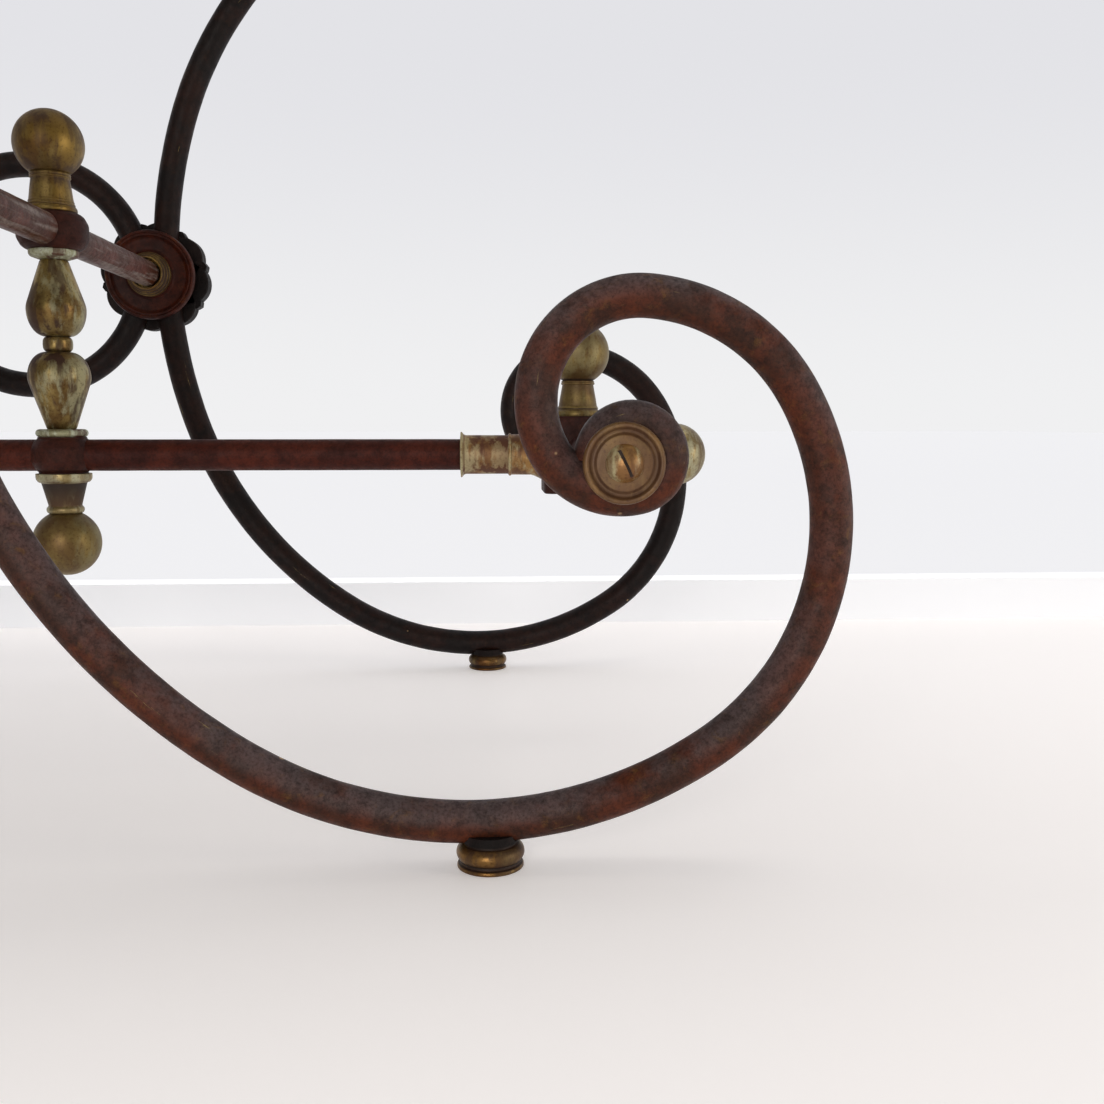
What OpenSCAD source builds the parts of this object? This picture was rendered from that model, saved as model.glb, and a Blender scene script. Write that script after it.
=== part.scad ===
// A scroll-leg work table: forged round-bar frame, turned brass fittings, loose marble slab.
// Millimetres, +Z up. The origin is on the floor under the middle of the table.
// +X runs along the table and +Y runs from its front leg frame to its rear one.
// Everything is drawn once, at the front right corner (+X, -Y), and mirrored to the others.

/* [Bars] */
// Thickness of the round bar of the scrolls, rings and cross bars
bar_d = 24; // [23:0.5:25]
// Distance between the middle planes of the front and rear leg frames
frame_gap = 536; // [480:2:600]
// Half the distance between the two scroll legs of a frame, where they meet the ring
waist_x = 129.5; // [120:0.5:140]
// Height of the rosettes and of the upper cross bars
rosette_z = 393; // [391:0.5:396]

/* [Stretcher] */
// Height of the long stretcher
stretcher_z = 226.5; // [224:0.5:229]
// Distance from the table's middle to the end hubs
end_hub_x = 511.5; // [510:0.5:513]
// Distance from the table's middle to the lower cross bars
lower_bar_x = 514; // [512:0.5:515]
// Height of the lower cross bars
lower_bar_z = 229.5; // [228:0.5:231]

/* [Turned brass] */
// Diameter of the four balls at the ends of the upright spindles
spindle_ball_d = 50.4; // [48:0.2:54]
// Diameter of the four balls beyond the end hubs
finial_ball_d = 48.4; // [44:0.2:50]
// Widest diameter of the upper spindle vase
upper_vase_d = 42.5; // [40:0.5:46]
// Widest diameter of the lower spindle vase
lower_vase_d = 45; // [40:0.5:48]

/* [Rosettes] */
// Diameter of the dished disc on the inner side of a frame
disc_d = 85; // [80:1:88]
// Diameter across the leaf tips of the cast rosette on the outer side
rosette_d = 109.5; // [104:0.5:116]
// Number of petals of the cast rosette
petals = 8; // [6:1:10]

/* [Feet] */
// Distance from the table's middle to a foot
foot_x = 440.5; // [436:0.5:444]
// Height of the brass foot
foot_h = 15.5; // [15:0.5:16]
// Widest diameter of the brass foot
foot_d = 39; // [36:0.5:42]

/* [Top] */
// Length of the marble slab
slab_l = 1360; // [1330:10:1400]
// Depth of the marble slab
slab_w = 640; // [620:10:680]
// Thickness of the marble slab
slab_t = 25; // [20:1:30]
// Length of the angle-iron frame under the slab
top_frame_l = 1300; // [1260:10:1320]
// Width of both legs of the angle iron
angle_w = 40; // [35:1:40]
// Thickness of the angle iron
angle_t = 5; // [4:0.5:6]

/* [Hidden] */

$fn = 96;
IRON = "#4a2c24";
DARK_IRON = "#2a1815";
BRASS = "#8a7a45";
STEEL = "#3a3532";
MARBLE = "#d9d4ca";

bar_r = bar_d / 2;
frame_y = frame_gap / 2;
inner_y = frame_y - bar_r;              // flank of a leg frame that faces the table's middle
outer_y = frame_y + bar_r;
slip = 0.1;                             // radial clearance of an assembled shaft in its hole

// A scroll is a chain of arcs [radius, sweep in degrees]. Both arms start at the waist and leave
// it along the vertical. The lower arm ends in the eye that the lower cross bar is screwed to.
LOWER_ARM = [[480, 17], [360, 40], [243, 67], [150, 86.5], [106, 56], [57, 125], [46, 70], [20, 224]];
UPPER_ARM = [[480, 17], [360, 40], [243, 33], [52, 70], [32, 90], [22, 100]];
CREST_ARC = 2;                          // the arc that runs level at the foot and at the crest

function dir(h) = [cos(h - 90), sin(h - 90)];
function heading(arcs, n) = n == 0 ? -90 : heading(arcs, n - 1) + arcs[n - 1][1];
function joint(arcs, n) = n == 0 ? [0, 0]
    : joint(arcs, n - 1) + arcs[n - 1][0] * (dir(heading(arcs, n)) - dir(heading(arcs, n - 1)));
function centre(arcs, n) = joint(arcs, n) - arcs[n][0] * dir(heading(arcs, n));

arm_drop = LOWER_ARM[CREST_ARC][0] - centre(LOWER_ARM, CREST_ARC).y;
crest_x = waist_x + centre(UPPER_ARM, CREST_ARC).x;
pad_t = 1;                              // thickness of the saddle under the bar's filed flat
seat_cut = 2.4;                         // depth of the flat that is filed on the bar for the foot
weld_rise = 0.1;
waist_z = foot_h + pad_t - seat_cut + bar_r + arm_drop;
crest_z = waist_z + arm_drop + bar_r;   // top of the scroll legs

ring_r = waist_x - bar_d - 0.3;         // the ring lies between the two scrolls of a frame
rosette_x = (ring_r + waist_x) / 2;     // the cross bar passes between the ring and the scroll
stud_r = 6;                             // reduced end of a cross bar

hub_r = 25.6;
hub_h = 27.6;
rod_r = 5;                              // tie rod that the spindle's turned parts are threaded on
end_hub_w = 55;
end_hub_h = 59;
saddle_r = 16;                          // saddle between a foot and the bar
top_saddle_r = 14;                      // saddle between a crest and the angle iron
saddle_h = 5;                           // from the crest of a scroll to the angle iron
frame_z = crest_z + saddle_h;           // underside of the angle iron's level leg
screw_r = 4;
slab_z = frame_z + angle_t + 0.3;

// Points of an arc in a turned outline: centre (x, y), radius, first and last angle.
function round_edge(x, y, r, a, b, n = 6) =
    [for (i = [0:n]) [x + r * cos(a + (b - a) * i / n), y + r * sin(a + (b - a) * i / n)]];
// Points of a quarter ellipse from [r0, z0] at its widest to [r1, z1] at its end.
function shoulder(r0, z0, r1, z1, n = 7) =
    [for (i = [0:n]) [r1 + (r0 - r1) * cos(90 * i / n), z0 + (z1 - z0) * sin(90 * i / n)]];

module at_side(side) {
    if (side < 0) mirror([1, 0, 0]) children();
    else children();
}
module at_corner(side, face) {
    at_side(side)
        if (face > 0) mirror([0, 1, 0]) children();
        else children();
}
module at_corners() {
    for (side = [-1, 1], face = [-1, 1]) at_corner(side, face) children();
}
// Turns a part drawn along +Z so that it runs along -Y, towards the front.
module to_front() rotate([90, 0, 0]) children();
module turned(outline) rotate_extrude() polygon(outline);

// The arcs of one arm in the XY plane. A hair-thin weld band closes each joint between two arcs.
module arm(arcs) {
    for (i = [0:len(arcs) - 1])
        let (c = centre(arcs, i), r = arcs[i][0])
            translate([c.x, c.y, 0])
                rotate(heading(arcs, i) - 90)
                    rotate_extrude(angle = arcs[i][1]) translate([r, 0]) circle(d = bar_d);
    for (i = [1:len(arcs) - 1])
        translate([joint(arcs, i).x, joint(arcs, i).y, 0]) rotate(heading(arcs, i)) weld_band();
}
module weld_band() {
    rotate([0, 90, 0]) cylinder(d = bar_d + weld_rise, h = 0.8, center = true);
}

module scroll_leg(side, face) {
    color(IRON) at_corner(side, face) translate([0, -frame_y, 0])
        difference() {
            translate([waist_x, 0, waist_z]) rotate([90, 0, 0]) {
                arm(LOWER_ARM);
                mirror([0, 1, 0]) arm(UPPER_ARM);
                rotate(90) weld_band();
            }
            stud_hole(rosette_x, rosette_z);
            translate([foot_x, 0, 0]) cylinder(r = saddle_r + 1, h = foot_h + pad_t);
            translate([foot_x, 0, 0]) cylinder(r = screw_r + slip, h = foot_h + 11);
            translate([crest_x, 0, crest_z - 11]) cylinder(r = screw_r + slip, h = 20);
        }
}
module stud_hole(x, z) {
    translate([x, bar_d, z]) to_front() cylinder(r = stud_r + slip, h = 2 * bar_d);
}

module ring(face) {
    color(DARK_IRON) translate([0, face * frame_y, 0])
        difference() {
            translate([0, 0, rosette_z]) rotate([90, 0, 0])
                rotate_extrude() translate([ring_r, 0]) circle(d = bar_d);
            stud_hole(rosette_x, rosette_z);
            stud_hole(-rosette_x, rosette_z);
        }
}

// Dished disc on the inner flanks of ring and scroll. Heights run from its back towards the middle.
module dished_disc(side, face) {
    r = disc_d / 2;
    color(IRON) at_corner(side, face) translate([rosette_x, -inner_y, rosette_z])
        rotate([-90, 0, 0])
            turned(concat([[stud_r + slip, 0], [r, 0]], round_edge(r - 2, 5, 2, 0, 90),
                [[r - 5, 7], [r - 8, 4], [24, 3], [21.5, 6], [stud_r + slip, 6]]));
}

// Cast rosette on the outer flanks: a boss, a ring of petals, and a leaf tip between petals.
module cast_rosette(side, face) {
    petal_r = 0.125 * rosette_d;
    petal_at = 0.362 * rosette_d;
    tip_at = rosette_d / 2;
    color(DARK_IRON) at_corner(side, face) translate([rosette_x, -outer_y, rosette_z]) to_front()
        difference() {
            union() {
                cylinder(r = petal_at, h = 6);
                for (i = [0:petals - 1]) rotate((i + 0.5) * 360 / petals + 10) {
                    translate([petal_at, 0, 0]) cylinder(r = petal_r, h = 7, $fn = 48);
                    rotate(180 / petals) linear_extrude(4.5)
                        polygon([[petal_at - 4, -6], [tip_at, 0], [petal_at - 4, 6]]);
                }
                cylinder(r = 17, h = 9.5);
                translate([0, 0, 9.5]) cylinder(r1 = 12, r2 = 8, h = 4.5);
            }
            translate([0, 0, -1]) cylinder(r = stud_r + slip, h = 10);
        }
}

// Stepped brass collar around an upper cross bar where it meets the dished disc.
module bar_collars() {
    b = bar_r + slip;
    color(BRASS) at_corners() translate([rosette_x, -inner_y + 6, rosette_z]) rotate([-90, 0, 0])
        turned([[b, 0], [21, 0], [21, 3], [19.5, 5], [17.5, 5.5], [17.5, 8], [15.5, 9.5], [15, 13],
            [b, 13]]);
}

module upper_crossbar(side) {
    shoulder_y = inner_y - 6;
    color(IRON) at_side(side) translate([rosette_x, 0, rosette_z])
        difference() {
            union() {
                to_front() cylinder(r = bar_r, h = 2 * shoulder_y, center = true);
                to_front() cylinder(r = stud_r, h = 2 * (outer_y + 8), center = true);
            }
            cylinder(r = rod_r + slip, h = 2 * bar_d, center = true);
        }
}

// The collars at both ends bear on the inner sides of the eyes. The stud ends are tapped.
module lower_crossbar(side) {
    color(IRON) at_side(side) translate([lower_bar_x, 0, lower_bar_z])
        difference() {
            union() {
                to_front() cylinder(r = bar_r, h = 2 * (inner_y - 5), center = true);
                to_front() cylinder(r = stud_r, h = 2 * (outer_y - 1), center = true);
                for (face = [-1, 1]) translate([0, face * (inner_y - 2.5), 0])
                    to_front() cylinder(r = 22, h = 5, center = true);
            }
            for (face = [-1, 1]) translate([0, face * (outer_y - 13), 0])
                to_front() cylinder(r = screw_r, h = 26, center = true);
        }
}

// Squat barrel that joins the spindle to the upper cross bar or to the stretcher.
module hub_barrel() {
    k = hub_h / 2;
    rotate(37) turned([[0, -k], [17.8, -k], [hub_r - 3.2, -k + 2.6], [hub_r - 0.7, -k + 7], [hub_r, 0],
        [hub_r - 0.7, k - 7], [hub_r - 3.2, k - 2.6], [17.8, k], [0, k]]);
}
module upper_hub(side) {
    color(IRON) at_side(side) translate([rosette_x, 0, rosette_z])
        difference() {
            hub_barrel();
            to_front() rotate(45) cylinder(r = bar_r + slip, h = 3 * bar_d, center = true);
            cylinder(r = rod_r + slip, h = 2 * hub_h, center = true);
        }
}
module lower_hub(side) {
    color(IRON) at_side(side) translate([rosette_x, 0, stretcher_z])
        difference() {
            hub_barrel();
            rotate([0, 90, 0]) cylinder(r = bar_r + slip, h = 3 * bar_d, center = true);
            cylinder(r = rod_r + slip, h = 2 * hub_h, center = true);
        }
}

// Heights along the spindle, worked out from the two hubs.
upper_hub_top = rosette_z + hub_h / 2;
upper_hub_base = rosette_z - hub_h / 2;
lower_hub_top = stretcher_z + hub_h / 2;
lower_hub_base = stretcher_z - hub_h / 2;
ball_r = spindle_ball_d / 2;
neck_h = 28.6;                          // turned neck between the upper hub and the top ball
top_ball_z = upper_hub_top + neck_h + sqrt(pow(ball_r, 2) - pow(13.8, 2)) - 0.4;
bottom_neck_h = 30.7;
bottom_ball_z = lower_hub_base - bottom_neck_h - sqrt(pow(ball_r, 2) - pow(11.5, 2)) + 0.4;
washer_h = 7;
flange_h = 6;
bead_top = upper_hub_base - washer_h - 56.5;
bead_base = bead_top - 11.5;
lower_vase_base = lower_hub_top + flange_h;

module at_spindle(side, z) at_side(side) translate([rosette_x, 0, z]) children();
module rod_bore(low, high) translate([0, 0, low]) cylinder(r = rod_r + slip, h = high - low);

module spindle_rod(side) {
    low = bottom_ball_z - 6;
    color(STEEL) at_spindle(side, low) cylinder(r = rod_r, h = top_ball_z + 6 - low);
}
module top_ball(side) {
    cut = upper_hub_top + neck_h - top_ball_z;
    color(BRASS) at_spindle(side, top_ball_z)
        difference() {
            sphere(r = ball_r);
            translate([0, 0, cut - ball_r]) cylinder(r = ball_r, h = ball_r);
            rod_bore(cut - 1, 6.2);
        }
}
module top_neck(side) {
    b = rod_r + slip;
    color(BRASS) at_spindle(side, upper_hub_top)
        turned([[b, 0], [18, 0], [18, 4], [16.8, 5.4], [16.2, 5.6], [16.5, 7], [15.7, 8.6],
            [15.2, 12], [13.8, 23.6], [14.5, 25], [14.5, 27.4], [13.8, neck_h], [b, neck_h]]);
}
module hub_washers() {
    b = rod_r + slip;
    color(BRASS) for (side = [-1, 1]) {
        at_spindle(side, upper_hub_base)
            turned([[b, 0], [17.7, 0], [17.7, -3], [16.6, -4.6], [9.5, -washer_h], [b, -washer_h]]);
        at_spindle(side, lower_hub_top)
            turned(concat([[b, 0], [17.6, 0]], round_edge(15.8, 3, 3, -75, 90), [[b, flange_h]]));
    }
}
module upper_vase(side) {
    h = upper_hub_base - washer_h - bead_top;
    belly = 0.36 * h;
    color(BRASS) at_spindle(side, bead_top)
        difference() {
            mirror([0, 0, 1]) turned(concat([[0, -h], [9.4, -h], [10.2, 1 - h]],
                [[upper_vase_d / 2 - 0.5, -belly - 4]], shoulder(upper_vase_d / 2, -belly, 8.5, 0), [[0, 0]]));
            rod_bore(-1, h + 1);
        }
}
module bead(side) {
    h = bead_top - bead_base;
    b = rod_r + slip;
    color(BRASS) at_spindle(side, bead_base)
        turned(concat([[b, 0], [7.2, 0]], round_edge(7.2, h / 2, 3.6, -80, 80), [[7.2, h], [b, h]]));
}
module lower_vase(side) {
    h = bead_base - lower_vase_base;
    belly = h - 19;
    color(BRASS) at_spindle(side, lower_vase_base)
        difference() {
            turned(concat([[0, 0], [10.2, 0], [10.8, 1], [lower_vase_d / 2 - 0.5, belly - 4]],
                shoulder(lower_vase_d / 2, belly, 8.8, h), [[0, h]]));
            rod_bore(-1, h + 1);
        }
}
module bottom_neck(side) {
    b = rod_r + slip;
    h = bottom_neck_h;
    color(BRASS) at_spindle(side, lower_hub_base)
        turned([[b, 0], [20.2, 0], [20.2, -3.5], [18.6, -6.4], [16.4, -7.2], [12, -24.6], [13.2, -25.6],
            [13.7, -27.6], [13.2, -29.6], [11.5, -h], [b, -h]]);
}
module bottom_ball(side) {
    cut = lower_hub_base - bottom_neck_h - bottom_ball_z;
    color(BRASS) at_spindle(side, bottom_ball_z)
        difference() {
            sphere(r = ball_r);
            translate([0, 0, cut]) cylinder(r = ball_r, h = ball_r);
            rod_bore(-6.2, cut + 1);
        }
}

// One long bar. It ends at the end hubs, with a reduced stud in each hub's socket.
module stretcher() {
    color(IRON) translate([0, 0, stretcher_z])
        difference() {
            rotate([0, 90, 0]) union() {
                cylinder(r = bar_r, h = 2 * (end_hub_x - end_hub_w / 2), center = true);
                cylinder(r = 7, h = 2 * (end_hub_x - end_hub_w / 2 + 7), center = true);
            }
            for (side = [-1, 1]) translate([side * rosette_x, 0, 0])
                cylinder(r = rod_r + slip, h = 2 * bar_d, center = true);
        }
}
// Sleeve over the end of the stretcher. Lengths run from the end hub towards the table's middle.
module stretcher_collar(side) {
    b = bar_r + slip;
    color(BRASS) at_side(side) translate([end_hub_x - end_hub_w / 2, 0, stretcher_z]) rotate([0, -90, 0])
        turned([[b, 0], [19, 0], [19, 2], [15.7, 9], [15.7, 21], [16.6, 22], [16.6, 23.6], [15.3, 24.4],
            [15.3, 59], [17.7, 60], [17.7, 62], [14, 64], [b, 68]]);
}

module end_hub(side) {
    color(IRON) at_side(side) translate([end_hub_x, 0, stretcher_z])
        difference() {
            intersection() {
                cube([end_hub_w, end_hub_w, end_hub_h], center = true);
                cylinder(r = 0.62 * end_hub_w, h = end_hub_h, center = true);
            }
            translate([lower_bar_x - end_hub_x, 0, lower_bar_z - stretcher_z])
                to_front() cylinder(r = bar_r + slip, h = 2 * end_hub_w, center = true);
            translate([-end_hub_w, 0, 0]) rotate([0, 90, 0]) cylinder(r = 7 + slip, h = end_hub_w / 2 + 7.5);
            translate([end_hub_w / 2 - 9, 0, 0]) rotate([0, 90, 0]) cylinder(r = rod_r + slip, h = 20);
            translate([0, 0, end_hub_h / 2 - 9]) cylinder(r = rod_r + slip, h = 20);
        }
}
// Neck, ball and stud turned in one piece. The neck starts at height 0 and the stud is below it.
module finial() {
    neck_top = 27.6;
    neck_r = 11.6;
    r = finial_ball_d / 2;
    color(BRASS) union() {
        translate([0, 0, neck_top + sqrt(r * r - neck_r * neck_r)]) sphere(r = r);
        turned([[0, -8], [rod_r, -8], [rod_r, 0], [17.6, 0], [17.6, 3.6], [16.2, 5], [15.4, 5.4], [15.6, 7],
            [14.9, 8.2], [12.2, 24], [13, 24.8], [13, 26.4], [neck_r, neck_top + 0.6], [0, neck_top + 0.6]]);
    }
}
module upright_finial(side) {
    at_side(side) translate([end_hub_x, 0, stretcher_z + end_hub_h / 2]) finial();
}
module end_finial(side) {
    at_side(side) translate([end_hub_x + end_hub_w / 2, 0, stretcher_z]) rotate([0, 90, 0]) finial();
}

module at_eyes() at_corners() translate([lower_bar_x, -outer_y, lower_bar_z]) to_front() children();
module eye_discs() {
    b = screw_r + slip;
    color(BRASS) at_eyes()
        turned([[b, 0], [22.5, 0], [22.5, 4.6], [21.4, 6], [19.6, 6], [18.4, 4.2], [16.4, 4.2], [15.2, 5.4],
            [b, 5.4]]);
}
module eye_screws() {
    head_r = 10.6;
    head_h = 6.4;
    cap_r = (head_r * head_r + head_h * head_h) / (2 * head_h);
    color(BRASS) at_eyes() difference() {
        union() {
            intersection() {
                translate([0, 0, 5.4 + head_h - cap_r]) sphere(r = cap_r);
                translate([0, 0, 5.4]) cylinder(r = head_r, h = head_h);
            }
            translate([0, 0, -22]) cylinder(r = screw_r, h = 22 + 5.4 + 1);
        }
        rotate(-64) translate([-head_r, -0.9, 5.4 + head_h - 2.6]) cube([2 * head_r, 1.8, 4]);
    }
}

module at_feet() at_corners() translate([foot_x, -frame_y, 0]) children();
// Iron saddle between the foot and the bar. Its cheeks rise on both sides of the bar.
module foot_pads() {
    color(DARK_IRON) at_feet() difference() {
        translate([0, 0, foot_h]) cylinder(r = saddle_r, h = 5);
        intersection() {
            translate([0, 0, waist_z - arm_drop]) bar_groove();
            translate([-30, -30, foot_h + pad_t]) cube(60);
        }
        translate([0, 0, foot_h - 1]) rotate(20) cylinder(r = screw_r + slip, h = 10);
    }
}
module bar_groove() {
    rotate([0, 90, 0]) cylinder(r = bar_r, h = 60, center = true);
}
// Brass bun with a rim at the floor and a stud that screws up into the bar.
module feet() {
    r = foot_d / 2;
    color(BRASS) at_feet()
        turned(concat([[0, 0], [r - 0.6, 0], [r - 0.4, 0.6], [r - 0.5, 2.4], [r - 1.8, 3], [r - 1.8, 3.6]],
            round_edge(r - 5.2, 8.9, 5.2, -62, 66), [[r - 5, foot_h], [screw_r, foot_h],
            [screw_r, foot_h + 10], [0, foot_h + 10]]));
}

module at_crests() at_corners() translate([crest_x, -frame_y, 0]) children();
module top_saddles() {
    color(DARK_IRON) at_crests() difference() {
        translate([0, 0, crest_z - 5]) cylinder(r = top_saddle_r, h = saddle_h + 5);
        translate([0, 0, crest_z - bar_r]) bar_groove();
        translate([0, 0, crest_z - 6]) rotate(20) cylinder(r = screw_r + slip, h = 20);
    }
}
// Countersunk screws through the angle iron and the saddles into the crests of the legs.
module top_screws() {
    color(STEEL) at_crests() {
        translate([0, 0, frame_z + angle_t - 4]) cylinder(r1 = screw_r, r2 = screw_r + 3.6, h = 3.8);
        translate([0, 0, crest_z - 10]) cylinder(r = screw_r, h = saddle_h + 10 + angle_t - 4);
    }
}
module screw_seat() {
    translate([crest_x, 0, frame_z]) {
        translate([0, 0, -1]) cylinder(r = screw_r + slip, h = angle_t + 2);
        translate([0, 0, angle_t - 4]) cylinder(r1 = screw_r + slip, r2 = screw_r + 4, h = 4);
    }
}
// Angle iron: a level leg under the slab and a leg that hangs down on the outside.
module top_rail_long(face) {
    color(DARK_IRON) translate([0, face * frame_y, 0]) difference() {
        union() {
            translate([-top_frame_l / 2, -angle_w / 2, frame_z]) cube([top_frame_l, angle_w, angle_t]);
            translate([0, face * (angle_w - angle_t) / 2, frame_z + angle_t - angle_w / 2])
                cube([top_frame_l, angle_t, angle_w], center = true);
        }
        for (side = [-1, 1]) at_side(side) screw_seat();
    }
}
module top_rail_end(side) {
    level_l = frame_gap - angle_w;
    hang_l = frame_gap + angle_w - 2 * angle_t;
    color(DARK_IRON) at_side(side) translate([top_frame_l / 2, 0, frame_z]) {
        translate([-angle_w, -level_l / 2, 0]) cube([angle_w - angle_t, level_l, angle_t]);
        translate([-angle_t, -level_l / 2, 0]) cube([angle_t, level_l, angle_t]);
        translate([-angle_t, -hang_l / 2, angle_t - angle_w]) cube([angle_t, hang_l, angle_w - angle_t]);
    }
}
module marble_slab() {
    color(MARBLE) translate([-slab_l / 2, -slab_w / 2, slab_z]) cube([slab_l, slab_w, slab_t]);
}

scroll_leg(1, -1);  // leg_front_right
scroll_leg(-1, -1);  // leg_front_left
scroll_leg(1, 1);  // leg_rear_right
scroll_leg(-1, 1);  // leg_rear_left
ring(-1);  // ring_front
ring(1);  // ring_rear
dished_disc(1, -1);  // disc_front_right
dished_disc(-1, -1);  // disc_front_left
dished_disc(1, 1);  // disc_rear_right
dished_disc(-1, 1);  // disc_rear_left
cast_rosette(1, -1);  // rosette_front_right
cast_rosette(-1, -1);  // rosette_front_left
cast_rosette(1, 1);  // rosette_rear_right
cast_rosette(-1, 1);  // rosette_rear_left
bar_collars();
upper_crossbar(1);  // upper_crossbar_right
upper_crossbar(-1);  // upper_crossbar_left
lower_crossbar(1);  // lower_crossbar_right
lower_crossbar(-1);  // lower_crossbar_left
upper_hub(1);  // upper_hub_right
upper_hub(-1);  // upper_hub_left
lower_hub(1);  // lower_hub_right
lower_hub(-1);  // lower_hub_left
spindle_rod(1);  // spindle_rod_right
spindle_rod(-1);  // spindle_rod_left
top_ball(1);  // top_ball_right
top_ball(-1);  // top_ball_left
top_neck(1);  // top_neck_right
top_neck(-1);  // top_neck_left
hub_washers();
upper_vase(1);  // upper_vase_right
upper_vase(-1);  // upper_vase_left
bead(1);  // bead_right
bead(-1);  // bead_left
lower_vase(1);  // lower_vase_right
lower_vase(-1);  // lower_vase_left
bottom_neck(1);  // bottom_neck_right
bottom_neck(-1);  // bottom_neck_left
bottom_ball(1);  // bottom_ball_right
bottom_ball(-1);  // bottom_ball_left
stretcher();
stretcher_collar(1);  // stretcher_collar_right
stretcher_collar(-1);  // stretcher_collar_left
end_hub(1);  // end_hub_right
end_hub(-1);  // end_hub_left
upright_finial(1);  // upright_finial_right
upright_finial(-1);  // upright_finial_left
end_finial(1);  // end_finial_right
end_finial(-1);  // end_finial_left
eye_discs();
eye_screws();
foot_pads();
feet();
top_saddles();
top_screws();
top_rail_long(-1);  // top_rail_front
top_rail_long(1);  // top_rail_rear
top_rail_end(1);  // top_rail_right
top_rail_end(-1);  // top_rail_left
marble_slab();
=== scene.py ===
# Scroll-leg work table: forged round wrought-iron bar, turned brass fittings and a loose marble slab.
# Metres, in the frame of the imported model: X along the table, Y from the front leg frame to the
# rear one, Z up from the floor.
import math

import bmesh
import bpy
from mathutils import Matrix, Vector


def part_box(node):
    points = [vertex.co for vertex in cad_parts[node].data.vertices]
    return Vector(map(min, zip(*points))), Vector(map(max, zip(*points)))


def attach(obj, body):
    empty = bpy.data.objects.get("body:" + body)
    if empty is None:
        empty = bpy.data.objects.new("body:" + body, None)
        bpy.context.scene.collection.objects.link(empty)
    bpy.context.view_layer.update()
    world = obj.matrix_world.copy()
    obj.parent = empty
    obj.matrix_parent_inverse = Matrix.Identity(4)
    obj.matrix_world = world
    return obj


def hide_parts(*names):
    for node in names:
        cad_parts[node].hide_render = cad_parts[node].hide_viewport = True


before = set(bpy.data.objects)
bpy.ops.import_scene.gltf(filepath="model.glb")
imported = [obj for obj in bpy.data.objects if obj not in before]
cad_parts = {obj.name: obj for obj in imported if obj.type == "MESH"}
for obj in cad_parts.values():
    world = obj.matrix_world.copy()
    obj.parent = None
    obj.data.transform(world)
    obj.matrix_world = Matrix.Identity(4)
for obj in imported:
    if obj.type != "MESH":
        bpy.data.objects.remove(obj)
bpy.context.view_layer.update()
MM = 0.001
SIDES = {"right": 1, "left": -1}
FACES = {"front": -1, "rear": 1}


# ---------------------------------------------------------------- measures taken from the frame
def middle(node):
    """The middle of a node's box."""
    low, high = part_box(node)
    return (low + high) / 2


def extent(node):
    """The lengths of a node's box along X, Y and Z."""
    low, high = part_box(node)
    return high - low


BAR_R = extent("stretcher").z / 2
FRAME_Y = abs(middle("ring_front").y)
RING_R = extent("ring_front").z / 2 - BAR_R
INNER_Y = FRAME_Y - BAR_R                   # flank of a leg frame that faces the table's middle
OUTER_Y = FRAME_Y + BAR_R
SPINDLE_X = middle("upper_crossbar_right").x
ROSETTE_Z = middle("upper_crossbar_right").z
STRETCHER_Z = middle("stretcher").z
EYE_X = middle("lower_crossbar_right").x
EYE_Z = middle("lower_crossbar_right").z
HUB_X = middle("end_hub_right").x
SLEEVE_LENGTH = 64 * MM
PETALS = 8

# A scroll is a chain of arcs [radius in millimetres, sweep in degrees]. Both arms start at the
# waist and leave it along the vertical. The lower arm ends in the eye.
LOWER_ARM = [[480, 17], [360, 40], [243, 67], [150, 86.5], [106, 56], [57, 125], [46, 70], [20, 262]]
UPPER_ARM = [[480, 17], [360, 40], [243, 33], [52, 70], [32, 90], [22, 100]]


# ------------------------------------------------------------------------------------- small tools
def linear(colour):
    """An sRGB hex colour as linear red, green, blue and a full alpha."""
    parts = [int(colour[i:i + 2], 16) / 255 for i in (1, 3, 5)]
    return [c / 12.92 if c <= 0.04045 else ((c + 0.055) / 1.055) ** 2.4 for c in parts] + [1.0]


def add(tree, kind, inputs=None, stops=None, **settings):
    """Adds a node to a tree. inputs gives a socket its value, its hex colour or what feeds it."""
    node = tree.nodes.new(kind)
    for name, value in settings.items():
        setattr(node, name, value)
    for socket, value in (inputs or {}).items():
        if isinstance(value, bpy.types.NodeSocket):
            tree.links.new(value, node.inputs[socket])
        else:
            is_colour = isinstance(value, str) and value.startswith("#")
            node.inputs[socket].default_value = linear(value) if is_colour else value
    for i, (place, value) in enumerate(stops or []):
        elements = node.color_ramp.elements
        stop = elements[i] if i < 2 else elements.new(place)
        stop.position = place
        stop.color = linear(value) if isinstance(value, str) else (value, value, value, 1.0)
    return node


def new_piece(name, mesh):
    """An object in the scene that shows the mesh, lamp or lens."""
    piece = bpy.data.objects.new(name, mesh)
    bpy.context.scene.collection.objects.link(piece)
    return piece


def drop(piece):
    """Removes an object that only helped to make another."""
    bpy.data.objects.remove(piece)


def settled(name, source):
    """A plain object that holds what a source object's modifiers make. The source is removed."""
    bpy.context.view_layer.update()
    graph = bpy.context.evaluated_depsgraph_get()
    mesh = bpy.data.meshes.new_from_object(source.evaluated_get(graph))
    mesh.name = name
    drop(source)
    return new_piece(name, mesh)


def joined(name, parts):
    """One object made of several. The parts are removed."""
    whole = bmesh.new()
    for part in parts:
        whole.from_mesh(part.data)
    mesh = parts[0].data.copy()
    whole.to_mesh(mesh)
    whole.free()
    for part in parts:
        drop(part)
    return new_piece(name, mesh)


def smooth(mesh, angle=38):
    """Smooth shading, with creases where faces meet at more than the angle in degrees."""
    for face in mesh.polygons:
        face.use_smooth = True
    mesh.set_sharp_from_angle(angle=math.radians(angle))


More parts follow.
